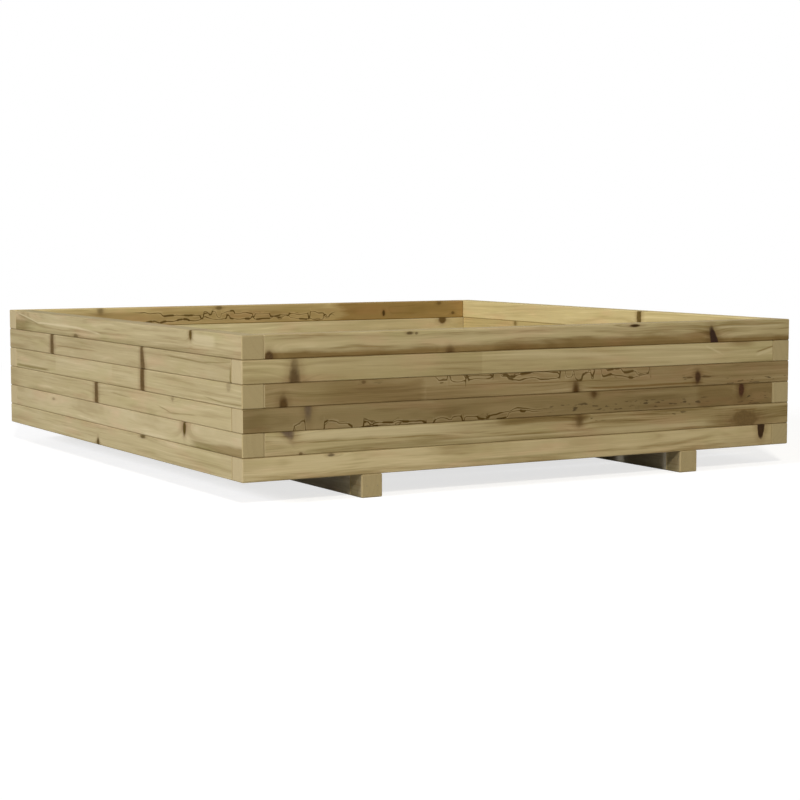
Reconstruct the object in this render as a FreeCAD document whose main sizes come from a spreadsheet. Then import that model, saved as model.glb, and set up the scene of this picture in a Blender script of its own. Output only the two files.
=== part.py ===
import FreeCAD, Part
import math
import os
import Sketcher
from FreeCAD import Placement, Rotation, Vector

# A square planter stacked from planed battens, in millimetres.
# The origin is on the ground under its centre, +Z is up, and the front wall faces -Y.

# Driving dimensions, as they are entered in the sheet of the document.
SIZES = {
    "outer_length": "1100",         # front and back walls, outside, along X
    "outer_depth": "1100",          # side walls, outside, along Y
    "course_count": "6",            # battens on top of each other in a wall
    "section": "38",                # side of the square batten that walls and feet are cut from
    "arris": "1.5",                 # chamfer that eases every edge of the timber
    "foot_inset": "210",            # outer face of a side wall to the near side of a foot
    "slat_width": "115",
    "slat_thickness": "16",
    "slat_gap": "8",                # least drainage gap beside a floor slat
    "slat_end_gap": "2",            # floor slat's end to the side wall
    "screw_length": "60",           # screws of the feet
    "screw_shank": "5",             # diameter
    "screw_head": "9.5",            # diameter of the countersunk head
    "countersink_angle": "90",      # of the head, in degrees
    "brad_side": "1.6",             # side of the square wire that every brad is made of
    "brad_length": "60",            # brads of the walls and feet
    "slat_brad_length": "38",
    "corner_brad_offset": "8",      # a corner brad to the middle of its corner, along X and along Y
    "wall_brad_stagger": "15",      # a wall brad to the mean line of the brads above and below it
    "foot_brad_spread": "20",       # between the two brads of a foot block
    "slat_brad_inset": "25",        # a slat's long edge to the brads beside it
    "play": "0.1",                  # clearance round a screw or brad where it bites
    "shank_play": "0.25",           # clearance round a screw's shank in the piece that it pulls up
    "tip_room": "1",                # depth of a hole past the tip in it
}

# The mean lines of the wall brads, as shares of the wall's outer length
WALL_BRAD_SHARES = (0.25, 0.75)

# One row for each wall: the signs of its starting corner along X and Y, the direction that it runs in
# seen from above, and the size along it. The walls run round counter-clockwise, so a wall's inner side
# is to the left of its direction.
WALLS = {
    "front": ((-1, -1), 0, "sizes.outer_length"),
    "right": ((1, -1), 90, "sizes.outer_depth"),
    "back": ((1, 1), 180, "sizes.outer_length"),
    "left": ((-1, 1), 270, "sizes.outer_depth"),
}
FOOT_WALLS = ("front", "back")

doc = FreeCAD.newDocument("planter")


# The sheet

sheet = doc.addObject("Spreadsheet::Sheet", "sizes")
for row, (alias, text) in enumerate(SIZES.items(), start=1):
    sheet.set(f"A{row}", alias.replace("_", " "))
    sheet.set(f"B{row}", text)
    sheet.setAlias(f"B{row}", alias)
doc.recompute()

COURSES = range(1, int(sheet.course_count) + 1)     # counted from the ground up
SEAMS = COURSES[:-1]                                # seam 1 lies on course 1, and so on

SECTION = "sizes.section"
HALF_SECTION = "sizes.section / 2"
INNER_LENGTH = "(sizes.outer_length - 2 * sizes.section)"
INNER_DEPTH = "(sizes.outer_depth - 2 * sizes.section)"
FLOOR_LEVEL = "(sizes.section + sizes.slat_thickness)"
BRAD_BITE = "sizes.brad_length - sizes.section + sizes.tip_room"
SCREW_BITE = "sizes.screw_length - sizes.section + sizes.tip_room"
SLAT_BRAD_BITE = "sizes.slat_brad_length - sizes.slat_thickness + sizes.tip_room"

# The middles of the two feet, from the left wall's outer face
FOOT_PLACES = {
    "left": f"(sizes.foot_inset + {HALF_SECTION})",
    "right": f"(sizes.outer_length - sizes.foot_inset - {HALF_SECTION})",
}

# The slats share the inner depth with equal gaps, one more gap than slats.
INNER_DEPTH_NOW = sheet.outer_depth - 2 * sheet.section
SLAT_COUNT = int((INNER_DEPTH_NOW - sheet.slat_gap) // (sheet.slat_width + sheet.slat_gap))
SLAT_GAP = f"(({INNER_DEPTH} - {SLAT_COUNT} * sizes.slat_width) / {SLAT_COUNT + 1})"


# Helpers

def bind(thing, **expressions):
    """Drives properties of an object by expressions. A double underscore stands for a dot."""
    for name, expression in expressions.items():
        thing.setExpression(name.replace("__", "."), expression)


def put(thing, x, y, z, angle=0):
    """Turns an object about Z, and puts its origin where three expressions say."""
    thing.Placement = Placement(Vector(), Rotation(Vector(0, 0, 1), angle))
    bind(thing, Placement__Base__x=x, Placement__Base__y=y, Placement__Base__z=z)


def sketch_on(body, role, name, offset="0"):
    """A sketch on one of the body's origin planes, or beside it at an offset along its normal."""
    sketch = body.newObject("Sketcher::SketchObject", f"{body.Name}_{name}")
    plane = next(feature for feature in body.Origin.OriginFeatures if feature.Role == role)
    sketch.AttachmentSupport = (plane, [""])
    sketch.MapMode = "FlatFace"
    bind(sketch, AttachmentOffset__Base__z=offset)
    return sketch


def dimension(sketch, name, kind, *points, value):
    """A named dimension, drawn one section long until its expression drives it."""
    index = sketch.addConstraint(Sketcher.Constraint(kind, *points, sheet.section))
    sketch.renameConstraint(index, name)
    bind(sketch, **{f"Constraints__{name}": value})


def draw_rectangle(sketch, left, bottom, width, height):
    """A rectangle by its lower left corner and its sides, each an expression."""
    first = sketch.GeometryCount
    near = sheet.section
    far = near + sheet.section
    corners = [Vector(near, near), Vector(far, near), Vector(far, far), Vector(near, far)]
    for start, end in zip(corners, corners[1:] + corners[:1]):
        sketch.addGeometry(Part.LineSegment(start, end))
    for side in range(4):
        following = first + (side + 1) % 4
        sketch.addConstraint(Sketcher.Constraint("Coincident", first + side, 2, following, 1))
        level = "Vertical" if side % 2 else "Horizontal"
        sketch.addConstraint(Sketcher.Constraint(level, first + side))
    tag = f"r{first}"
    dimension(sketch, tag + "_width", "DistanceX", first, 1, first, 2, value=width)
    dimension(sketch, tag + "_height", "DistanceY", first + 1, 1, first + 1, 2, value=height)
    dimension(sketch, tag + "_left", "DistanceX", -1, 1, first, 1, value=left)
    dimension(sketch, tag + "_bottom", "DistanceY", -1, 1, first, 1, value=bottom)


def draw_circle(sketch, x, y, diameter):
    """A circle by its centre and diameter, each an expression."""
    middle = Vector(sheet.section, sheet.section)
    circle = sketch.addGeometry(Part.Circle(middle, Vector(0, 0, 1), sheet.section))
    tag = f"c{circle}"
    dimension(sketch, tag + "_x", "DistanceX", -1, 1, circle, 3, value=x)
    dimension(sketch, tag + "_y", "DistanceY", -1, 1, circle, 3, value=y)
    dimension(sketch, tag + "_diameter", "Diameter", circle, value=diameter)


def check_cut(feature):
    """Stops the build where a cut has taken no wood away."""
    before = feature.BaseFeature.Shape.Volume
    if not feature.Shape.Volume < before:
        raise RuntimeError(f"{feature.Name} cuts nothing")


# Timber and the holes in it

def timber(name, length, breadth, height):
    """A planed board along its own X axis, with all its edges eased."""
    body = doc.addObject("PartDesign::Body", name)
    profile = sketch_on(body, "YZ_Plane", "profile")
    draw_rectangle(profile, "0", "0", breadth, height)
    pad = body.newObject("PartDesign::Pad", f"{name}_board")
    pad.Profile = profile
    bind(pad, Length=length)
    doc.recompute()
    eased = body.newObject("PartDesign::Chamfer", f"{name}_eased")
    eased.Base = (pad, [""])
    eased.UseAllEdges = True
    bind(eased, Size="sizes.arris")
    doc.recompute()
    return body


def drill_clearance(body, x, y):
    """A countersunk hole up through the board, for a screw that is driven from below."""
    sketch = sketch_on(body, "XY_Plane", "screw_place")
    draw_circle(sketch, x, y, "sizes.screw_shank + 2 * sizes.shank_play")
    doc.recompute()
    hole = body.newObject("PartDesign::Hole", f"{body.Name}_screw_hole")
    hole.Profile = sketch
    doc.recompute()
    hole.Reversed = True
    hole.DepthType = "ThroughAll"
    hole.HoleCutType = "Countersink"
    hole.HoleCutCustomValues = True
    bind(hole, Diameter="sizes.screw_shank + 2 * sizes.shank_play")
    bind(hole, HoleCutDiameter="sizes.screw_head + 2 * sizes.play")
    bind(hole, HoleCutCountersinkAngle="sizes.countersink_angle")
    doc.recompute()
    check_cut(hole)


def cut_pocket(body, name, sketch, depth, along_normal):
    """A pocket from a sketch, along the sketch's normal or against it."""
    doc.recompute()
    pocket = body.newObject("PartDesign::Pocket", f"{body.Name}_{name}")
    pocket.Profile = sketch
    pocket.Reversed = along_normal
    bind(pocket, Length=depth)
    doc.recompute()
    check_cut(pocket)


def cut_brad_holes(body, name, role, places, depth, along_normal=True, offset="0"):
    """Holes for brads, side by side, each by the two expressions of its middle on the plane."""
    sketch = sketch_on(body, role, f"{name}_places", offset)
    side = "(sizes.brad_side + 2 * sizes.play)"
    for across, up in places:
        draw_rectangle(sketch, f"{across} - {side} / 2", f"{up} - {side} / 2", side, side)
    cut_pocket(body, name, sketch, depth, along_normal)


# Places on the walls, as expressions

def corner(signs):
    """An outer corner's X and Y."""
    return f"{signs[0]} * sizes.outer_length / 2", f"{signs[1]} * sizes.outer_depth / 2"


def along_wall(wall, distance, inset="0"):
    """A point's X and Y, at a distance along a wall and an inset from its outer face."""
    signs, angle, _ = WALLS[wall]
    cos = round(math.cos(math.radians(angle)))
    sin = round(math.sin(math.radians(angle)))
    x, y = corner(signs)
    return (
        f"{x} + {cos} * ({distance}) - {sin} * ({inset})",
        f"{y} + {sin} * ({distance}) + {cos} * ({inset})",
    )


def foot_place(wall, side):
    """The middle of a foot along the front wall, or along the back wall, which runs the other way."""
    from_left = FOOT_PLACES[side]
    return from_left if wall == "front" else f"(sizes.outer_length - {from_left})"


def course_level(course):
    """The height of a course's underside. The feet are one section high."""
    return f"{course} * sizes.section"


def corner_brad_places(seam):
    """The two brads of a corner in a seam, from its outer faces. Each next seam has the other diagonal."""
    near = f"({HALF_SECTION} - sizes.corner_brad_offset)"
    far = f"({HALF_SECTION} + sizes.corner_brad_offset)"
    return [(near, near), (far, far)] if seam % 2 else [(near, far), (far, near)]


def wall_brad_places(wall, seam):
    """The two brads of a wall in a seam, from its starting corner, to the other side in each next seam."""
    sign = "+" if seam % 2 else "-"
    return [f"({WALLS[wall][2]} * {share} {sign} sizes.wall_brad_stagger)" for share in WALL_BRAD_SHARES]


# Wall battens

def wall_batten(wall, course):
    """One batten. Odd courses start at their wall's starting corner, and even ones end at its far corner."""
    starts_at_corner = course % 2 == 1
    start = "0" if starts_at_corner else SECTION
    length = f"({WALLS[wall][2]} - sizes.section)"
    body = timber(f"{wall}_batten_{course}", length, SECTION, SECTION)
    put(body, *along_wall(wall, start), course_level(course), WALLS[wall][1])

    def brad_places(seam):
        at_corner = corner_brad_places(seam)
        if not starts_at_corner:
            at_corner = [(f"{length} - {inset}", distance) for distance, inset in at_corner]
        on_wall = [(f"{place} - {start}", HALF_SECTION) for place in wall_brad_places(wall, seam)]
        return at_corner + on_wall

    if course in SEAMS:
        cut_brad_holes(body, "brad_holes", "XY_Plane", brad_places(course), SECTION)
    if course > COURSES[0]:
        cut_brad_holes(body, "brad_bites", "XY_Plane", brad_places(course - 1), BRAD_BITE)
    elif wall in FOOT_WALLS:
        sketch = sketch_on(body, "XY_Plane", "screw_places")
        for side in FOOT_PLACES:
            place = f"{foot_place(wall, side)} - {start}"
            draw_circle(sketch, place, HALF_SECTION, "sizes.screw_shank + 2 * sizes.play")
        cut_pocket(body, "screw_bites", sketch, SCREW_BITE, along_normal=True)
    return body


nodes = [wall_batten(wall, course) for wall in WALLS for course in COURSES]


# Feet: a block under the wall at each end of a bearer

def foot_brad_places(across):
    """The two brads of a foot, at half its height, one on each side of its screw."""
    return [(f"({across} {sign} sizes.foot_brad_spread / 2)", HALF_SECTION) for sign in "-+"]


def foot_block(wall, side):
    """A cube of batten, flush with the wall above it, screwed to it and nailed to the bearer's end."""
    body = timber(f"{wall}_{side}_foot_block", SECTION, SECTION, SECTION)
    start = f"{foot_place(wall, side)} - {HALF_SECTION}"
    put(body, *along_wall(wall, start), "0", WALLS[wall][1])
    drill_clearance(body, HALF_SECTION, HALF_SECTION)
    places = foot_brad_places(HALF_SECTION)
    cut_brad_holes(body, "brad_holes", "XZ_Plane", places, SECTION, along_normal=False)
    return body


def bearer(side):
    """A batten at ground level between a front and a back foot block, under the floor slats."""
    body = timber(f"{side}_bearer", INNER_DEPTH, SECTION, SECTION)
    x, y = along_wall("front", f"{FOOT_PLACES[side]} + {HALF_SECTION}", SECTION)
    put(body, x, y, "0", 90)
    ends = foot_brad_places(HALF_SECTION)
    cut_brad_holes(body, "front_bites", "YZ_Plane", ends, BRAD_BITE)
    cut_brad_holes(body, "back_bites", "YZ_Plane", ends, BRAD_BITE, along_normal=False, offset=INNER_DEPTH)
    tops = [
        (f"({slat_start(slat)} + {place})", HALF_SECTION)
        for slat in range(SLAT_COUNT)
        for place in SLAT_BRAD_PLACES
    ]
    cut_brad_holes(body, "slat_bites", "XY_Plane", tops, SLAT_BRAD_BITE, along_normal=False, offset=SECTION)
    return body


# Floor slats, from the front wall to the back wall

SLAT_BRAD_PLACES = ("sizes.slat_brad_inset", "(sizes.slat_width - sizes.slat_brad_inset)")


def slat_start(slat):
    """A slat's front edge, from the front wall's inner face."""
    return f"({SLAT_GAP} + {slat} * (sizes.slat_width + {SLAT_GAP}))"


def floor_slat(slat):
    """A board that lies on both bearers, just short of the side walls, with two brads over each bearer."""
    start = "sizes.section + sizes.slat_end_gap"
    length = f"({INNER_LENGTH} - 2 * sizes.slat_end_gap)"
    body = timber(f"floor_slat_{slat + 1}", length, "sizes.slat_width", "sizes.slat_thickness")
    x, y = along_wall("front", start, f"{SECTION} + {slat_start(slat)}")
    put(body, x, y, SECTION)
    places = [
        (f"({foot} - ({start}))", place)
        for foot in FOOT_PLACES.values()
        for place in SLAT_BRAD_PLACES
    ]
    cut_brad_holes(body, "brad_holes", "XY_Plane", places, "sizes.slat_thickness")
    return body


nodes += [foot_block(wall, side) for wall in FOOT_WALLS for side in FOOT_PLACES]
nodes += [bearer(side) for side in FOOT_PLACES]
nodes += [floor_slat(slat) for slat in range(SLAT_COUNT)]


# Screws and brads, each kind a group of separate pieces

def foot_screw(wall, side):
    """The countersunk screw up through a foot block, its head in the underside."""
    name = f"{wall}_{side}_foot_screw"
    x, y = along_wall(wall, foot_place(wall, side), HALF_SECTION)
    shank = doc.addObject("Part::Cylinder", f"{name}_shank")
    bind(shank, Radius="sizes.screw_shank / 2", Height="sizes.screw_length")
    put(shank, x, y, "0")
    head = doc.addObject("Part::Cone", f"{name}_head")
    bind(head, Radius1="sizes.screw_head / 2", Radius2="sizes.screw_shank / 2")
    bind(head, Height="(sizes.screw_head - sizes.screw_shank) / 2 / tan(sizes.countersink_angle / 2)")
    put(head, x, y, "0")
    whole = doc.addObject("Part::Fuse", name)
    whole.Base = shank
    whole.Tool = head
    whole.Refine = True
    return whole


def brad(name, x, y, z, length, axis="Z"):
    """A brad by the middle of its lower or front end. It runs up, or back along Y."""
    pin = doc.addObject("Part::Box", name)
    spans = {"Length": "sizes.brad_side", "Width": "sizes.brad_side", "Height": "sizes.brad_side"}
    half = "sizes.brad_side / 2"
    if axis == "Z":
        spans["Height"] = length
        put(pin, f"{x} - {half}", f"{y} - {half}", z)
    else:
        spans["Width"] = length
        put(pin, f"{x} - {half}", y, f"{z} - {half}")
    bind(pin, **spans)
    return pin


def corner_brads(wall, seam):
    """The brads up into a seam at a wall's starting corner."""
    level = course_level(seam)
    return [
        brad(f"{wall}_corner_{seam}_brad_{count}", *along_wall(wall, *place), level, "sizes.brad_length")
        for count, place in enumerate(corner_brad_places(seam), start=1)
    ]


def wall_brads(wall, seam):
    """The brads up into a seam along a wall."""
    level = course_level(seam)
    return [
        brad(f"{wall}_{seam}_brad_{count}", *along_wall(wall, place, HALF_SECTION), level, "sizes.brad_length")
        for count, place in enumerate(wall_brad_places(wall, seam), start=1)
    ]


def foot_brads(wall, side):
    """The level brads from a foot block's outer face into the end of its bearer."""
    brads = []
    places = foot_brad_places(foot_place(wall, side))
    for count, (across, height) in enumerate(places, start=1):
        x, y = along_wall(wall, across)
        front_end = y if wall == "front" else f"{y} - sizes.brad_length"
        name = f"{wall}_{side}_foot_brad_{count}"
        brads.append(brad(name, x, front_end, height, "sizes.brad_length", axis="Y"))
    return brads


def slat_brads(slat, side):
    """The brads down through a slat into a bearer, flush with the slat's top."""
    tip = f"{FLOOR_LEVEL} - sizes.slat_brad_length"
    brads = []
    for count, place in enumerate(SLAT_BRAD_PLACES, start=1):
        x, y = along_wall("front", FOOT_PLACES[side], f"{SECTION} + {slat_start(slat)} + {place}")
        brads.append(brad(f"slat_{slat + 1}_{side}_brad_{count}", x, y, tip, "sizes.slat_brad_length"))
    return brads


def group(name, sets):
    """One node of separate pieces."""
    compound = doc.addObject("Part::Compound", name)
    compound.Links = [piece for pieces in sets for piece in pieces]
    return compound


nodes += [
    group("foot_screws", [[foot_screw(wall, side)] for wall in FOOT_WALLS for side in FOOT_PLACES]),
    group("foot_brads", [foot_brads(wall, side) for wall in FOOT_WALLS for side in FOOT_PLACES]),
    group("corner_brads", [corner_brads(wall, seam) for wall in WALLS for seam in SEAMS]),
    group("wall_brads", [wall_brads(wall, seam) for wall in WALLS for seam in SEAMS]),
    group("slat_brads", [slat_brads(slat, side) for slat in range(SLAT_COUNT) for side in FOOT_PLACES]),
]


# Checks and files

doc.recompute()
for thing in doc.Objects:
    if "Invalid" in thing.State or "Error" in thing.State:
        raise RuntimeError(f"{thing.Name} failed: {thing.State}")
for node in nodes:
    node.Label = node.Name
    if node.Shape.isNull() or not node.Shape.isValid():
        raise RuntimeError(f"{node.Name} has no valid shape")

os.makedirs("parts", exist_ok=True)
for node in nodes:
    node.Shape.exportStep(f"parts/{node.Label}.step")
print(len(nodes), "nodes,", sum(len(node.Shape.Solids) for node in nodes), "solids")
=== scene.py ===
import math

import bpy
from mathutils import Matrix, Vector


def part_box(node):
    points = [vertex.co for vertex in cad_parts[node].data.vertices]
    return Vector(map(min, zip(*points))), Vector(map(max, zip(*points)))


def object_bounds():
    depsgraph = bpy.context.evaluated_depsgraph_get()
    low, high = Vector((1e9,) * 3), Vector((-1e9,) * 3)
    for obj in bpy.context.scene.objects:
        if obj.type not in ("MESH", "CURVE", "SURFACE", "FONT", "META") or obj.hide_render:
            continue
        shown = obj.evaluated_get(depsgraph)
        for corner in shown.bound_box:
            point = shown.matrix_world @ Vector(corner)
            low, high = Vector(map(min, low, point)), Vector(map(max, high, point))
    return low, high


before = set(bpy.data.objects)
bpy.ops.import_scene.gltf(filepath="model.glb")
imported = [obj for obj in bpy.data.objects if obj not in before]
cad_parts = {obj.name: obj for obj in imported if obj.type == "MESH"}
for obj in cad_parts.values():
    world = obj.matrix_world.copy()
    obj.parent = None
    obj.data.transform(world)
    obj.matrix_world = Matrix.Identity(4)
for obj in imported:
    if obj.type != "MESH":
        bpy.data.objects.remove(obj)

# A square planter of stacked timber battens. Each piece keeps its mesh from the frame and gets a procedural
# material. Inside a timber's material a place is in millimetres: x runs along the timber, y in from its outer
# face and z up. A fall is the way down from its top edge.

cad_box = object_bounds()
scene = bpy.context.scene
scene.view_settings.view_transform = "Standard"

MM = 1000       # in a metre
COURSES = 6

# The battens' length and height, from the frame's box. The feet are as high as one course.
sides = [round((end - start) * MM) for start, end in zip(*cad_box)]
LENGTH = sides[0]
SECTION = sides[2] // (COURSES + 1)

# Camera at the photograph's viewing angle, with its angles in degrees
CAMERA_PLACE = (-1.791, -3.1822, 0.4269)
CAMERA_YAW = 30.03
CAMERA_PITCH = -5.118
CAMERA_SENSOR = 36
CAMERA_LENS = 85.312


def add_camera():
    camera = bpy.data.objects.new("camera", bpy.data.cameras.new("camera"))
    scene.collection.objects.link(camera)
    camera.location = CAMERA_PLACE
    camera.rotation_euler = (math.radians(90 + CAMERA_PITCH), 0, -math.radians(CAMERA_YAW))
    camera.data.sensor_width = CAMERA_SENSOR
    camera.data.lens = CAMERA_LENS
    scene.camera = camera


add_camera()


class Net:
    """Short calls that add nodes to one node tree."""

    def __init__(self, tree):
        self.tree = tree
        tree.nodes.clear()

    def put(self, value, socket):
        if isinstance(value, bpy.types.NodeSocket):
            self.tree.links.new(value, socket)
        elif socket.type == "RGBA" and len(value) == 3:
            socket.default_value = (*value, 1)
        else:
            socket.default_value = value

    def put_all(self, values, sockets):
        for value, socket in zip(values, sockets):
            self.put(value, socket)

    def node(self, kind, settings=None, **values):
        made = self.tree.nodes.new(kind)
        for name, value in (settings or {}).items():
            setattr(made, name, value)
        for name, value in values.items():
            self.put(value, made.inputs[name.replace("_", " ")])
        return made

    def math(self, operation, *values, clamp=False):
        made = self.node("ShaderNodeMath", {"operation": operation, "use_clamp": clamp})
        self.put_all(values, made.inputs)
        return made.outputs[0]

    def vector(self, operation, *values):
        made = self.node("ShaderNodeVectorMath", {"operation": operation})
        self.put_all(values, made.inputs)
        return made.outputs["Value" if operation in ("LENGTH", "DOT_PRODUCT") else "Vector"]

    def split(self, vector):
        return self.node("ShaderNodeSeparateXYZ", Vector=vector).outputs

    def join(self, x, y, z):
        return self.node("ShaderNodeCombineXYZ", X=x, Y=y, Z=z).outputs[0]

    def noise(self, place, scale, detail=2.0, rough=0.5, colour=False):
        """Noise at a place, where scale holds its cycles along the three directions."""
        stretched = self.vector("MULTIPLY", place, scale)
        made = self.node("ShaderNodeTexNoise", Vector=stretched, Scale=1.0, Detail=detail, Roughness=rough)
        return made.outputs["Color" if colour else "Fac"]

    def sway(self, noise, span):
        """A noise of 0 to 1 as a push to both sides, span wide in all."""
        return self.math("MULTIPLY", self.math("SUBTRACT", noise, 0.5), span)

    def ramp(self, value, low, high, to_low=0.0, to_high=1.0):
        """A smooth step from to_low at low to to_high at high."""
        made = self.node("ShaderNodeMapRange", {"interpolation_type": "SMOOTHSTEP"}, Value=value)
        names = ("From Min", "From Max", "To Min", "To Max")
        self.put_all((low, high, to_low, to_high), [made.inputs[name] for name in names])
        return made.outputs[0]

    def largest(self, values):
        best = values[0]
        for value in values[1:]:
            best = self.math("MAXIMUM", best, value)
        return best

    def mix(self, factor, first, second, blend="MIX"):
        """A colour between two others. The sockets are those that a Mix node has for colours."""
        made = self.node("ShaderNodeMix", {"data_type": "RGBA", "blend_type": blend, "clamp_factor": True})
        self.put_all((factor, first, second), [made.inputs[place] for place in (0, 6, 7)])
        return made.outputs[2]

    def times(self, colour, tint):
        return self.mix(1.0, colour, tint, "MULTIPLY")

    def tint(self, mask, colour, tint):
        """The colour, multiplied by a tint where the mask is 1."""
        return self.mix(mask, colour, self.times(colour, tint))

    def shader(self, kind, **values):
        return self.node(kind, **values).outputs[0]

    def blend(self, factor, first, second):
        """A shader between two others."""
        made = self.node("ShaderNodeMixShader")
        self.put_all((factor, first, second), made.inputs)
        return made.outputs[0]

    def group(self, tree, **values):
        made = self.node("ShaderNodeGroup", {"node_tree": tree})
        for name, value in values.items():
            self.put(value, made.inputs[name])
        return made.outputs


def shared(name, outputs, **inputs):
    """A node group. A socket's starting value gives its kind: a number, a place or, in fours, a colour."""
    tree = bpy.data.node_groups.new(name, "ShaderNodeTree")
    for way, sockets in (("INPUT", inputs), ("OUTPUT", outputs)):
        for socket, start in sockets.items():
            kind = "Float" if isinstance(start, float) else "Vector" if len(start) == 3 else "Color"
            made = tree.interface.new_socket(socket, in_out=way, socket_type="NodeSocket" + kind)
            made.default_value = start
    n = Net(tree)
    n.ins = tree.nodes.new("NodeGroupInput").outputs
    n.outs = tree.nodes.new("NodeGroupOutput").inputs
    return n


# Knots

KNOT_LEAST_WIDTH = 0.12     # of its reach, where it tapers
KNOT_RAGGED_SCALE = (0.09, 0.09, 0.07)
HALO_SHARES = (0.45, 0.6, 0.62)
SWIRL_SHARES = (0.24, 0.4, 0.45)


def knot_group():
    """A knot: an oval of dark branch wood, a halo of darker wood and the swirl of the grain round it."""
    n = shared(
        "knot", {"core": 0.0, "halo": 0.0, "swirl": 0.0},
        place=(0, 0, 0), centre=(0, 0, 0), reach=(8, 30, 10), lean=0.0, taper=0.0,
        strength=1.0, swirl=1.0, blur=0.5,
    )
    strength, blur, reach = n.ins["strength"], n.ins["blur"], n.split(n.ins["reach"])
    x, y, z = n.split(n.vector("SUBTRACT", n.ins["place"], n.ins["centre"]))
    across = n.math("SUBTRACT", x, n.math("MULTIPLY", z, n.ins["lean"]))
    rise = n.math("DIVIDE", z, reach[2])
    width = n.math("MAXIMUM", n.math("MULTIPLY_ADD", rise, n.ins["taper"], 1.0), KNOT_LEAST_WIDTH)
    across = n.math("DIVIDE", across, n.math("MULTIPLY", reach[0], width))
    ratio = n.join(across, n.math("DIVIDE", y, reach[1]), rise)
    ragged = n.noise(n.ins["place"], KNOT_RAGGED_SCALE, 2.0, 0.55)

    core = n.math("ADD", n.vector("LENGTH", ratio), n.sway(ragged, 0.5))
    edges = n.math("SUBTRACT", 1.0, blur), n.math("MULTIPLY_ADD", blur, 0.3, 1.0)
    n.put(n.math("MULTIPLY", n.ramp(core, *edges, 1.0, 0.0), strength), n.outs["core"])
    halo = n.vector("LENGTH", n.vector("MULTIPLY", ratio, HALO_SHARES))
    halo = n.math("ADD", halo, n.sway(ragged, 0.4))
    n.put(n.math("MULTIPLY", n.ramp(halo, 0.25, 1.2, 1.0, 0.0), strength), n.outs["halo"])
    swirl = n.vector("LENGTH", n.vector("MULTIPLY", ratio, SWIRL_SHARES))
    swirl = n.math("EXPONENT", n.math("MULTIPLY", n.math("POWER", swirl, 2.0), -1.6))
    n.put(n.math("MULTIPLY", swirl, n.ins["swirl"]), n.outs["swirl"])
    return n.tree


# Stains

STAIN_WANDER_SCALE = (0.012, 0.06, 0.06)
STAIN_WANDER_UP = 2.4       # times the softness of the edge
STAIN_WANDER_ALONG = 2.2


def stain_group():
    """A stain: a stretch of a timber with soft and ragged edges, which may rise along it."""
    n = shared(
        "stain", {"mask": 0.0},
        place=(0, 0, 0), low=(0, -50, 0), high=(100, 90, 38), soft=(20, 20, 4), slope=0.0, strength=1.0,
    )
    here, low, high, soft = (n.split(n.ins[name]) for name in ("place", "low", "high", "soft"))
    wander = n.noise(n.ins["place"], STAIN_WANDER_SCALE, 3.0, 0.55)
    rise = n.math("MULTIPLY", n.math("SUBTRACT", here[0], low[0]), n.ins["slope"])
    level = n.math("SUBTRACT", here[2], rise)
    level = n.math("ADD", level, n.sway(wander, n.math("MULTIPLY", soft[2], STAIN_WANDER_UP)))
    shorter = n.math("MINIMUM", soft[0], soft[1])
    along = n.math("ADD", here[0], n.sway(wander, n.math("MULTIPLY", shorter, STAIN_WANDER_ALONG)))
    mask = n.ins["strength"]
    for inside, edge in (
        (n.math("SUBTRACT", along, low[0]), soft[0]),
        (n.math("SUBTRACT", high[0], along), soft[1]),
        (n.math("SUBTRACT", level, low[2]), soft[2]),
        (n.math("SUBTRACT", high[2], level), soft[2]),
    ):
        mask = n.math("MULTIPLY", mask, n.ramp(inside, n.math("MULTIPLY", edge, -1.0), edge))
    n.put(mask, n.outs["mask"])
    return n.tree


# Timber

# Scales of its noises, in cycles per millimetre along, in and up, or along and by radius for the grain
WARP_SCALE = (0.0034, 0.017, 0.017)
THIN_SCALE = (0.0042, 0.33, 1.0)
BROAD_SCALE = (0.0028, 0.075, 1.0)
FIBRE_SCALE = (0.0065, 0.46, 0.46)
PATCH_SCALE = (0.0075, 0.03, 0.03)
BLUSH_SCALE = (0.009, 0.04, 0.04)
GRIT_SCALE = (0.22, 0.22, 0.22)
# Scales by ring and seed: how uneven the rings' spacing is, and how dark each ring is
SPACING_SCALE = (0.11, 7.3, 3.1)
WEIGHT_SCALE = (0.71, 5.1, 1.0)
# Steps in millimetres from the noises of one seed to those of the next, and from the patches to the blushes
SEED_STEP = (3511.0, 431.0, 277.0)
GRAIN_SEED_STEP = (911.0, 53.0, 17.0)
BLUSH_STEP = (900.0, 50.0, 70.0)

# Tints, which a colour is multiplied by
DARK_GRAIN = (0.6, 0.545, 0.44)
PALE_GRAIN = (1.3, 1.32, 1.45)
BLUSH = (1.1, 0.95, 1.02)
DULL_PATCH = (0.82, 0.87, 0.68)
LIGHT_PATCH = (1.1, 1.12, 1.2)
PALE_STAIN = (1.28, 1.32, 1.5)
BROWN_STAIN = (0.53, 0.435, 0.31)
BROWN_STAIN_GRAIN = (0.48, 0.385, 0.25)
OLIVE_STAIN = (0.5, 0.48, 0.33)
KNOT_HALO = (0.55, 0.45, 0.38)
HEART_DARK = (0.86, 0.85, 0.84)
HEART_LIGHT = (1.12, 1.12, 1.12)
END_GRAIN = (0.76, 0.725, 0.67)
# painted shade, laid into the seams between battens
PAINTED_SEAM_SHADE = (0.42, 0.36, 0.26)

# Colours: four for knots' hearts, then zone lines, specks, plain timber and the ends that show at the sides
# and at the front
DARK = (0.05, 0.026, 0.006)
PURPLE = (0.077, 0.033, 0.014)
WARM = (0.1, 0.056, 0.016)
OLIVE = (0.072, 0.045, 0.006)
ZONE_COLOUR = (0.07, 0.036, 0.001)
SPECK_COLOUR = (0.075, 0.05, 0.02)
PLAIN_TONE = (0.46, 0.378, 0.2)
SIDE_CUT = (0.475, 0.383, 0.21)
FRONT_CUT = (0.435, 0.345, 0.176)


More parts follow.
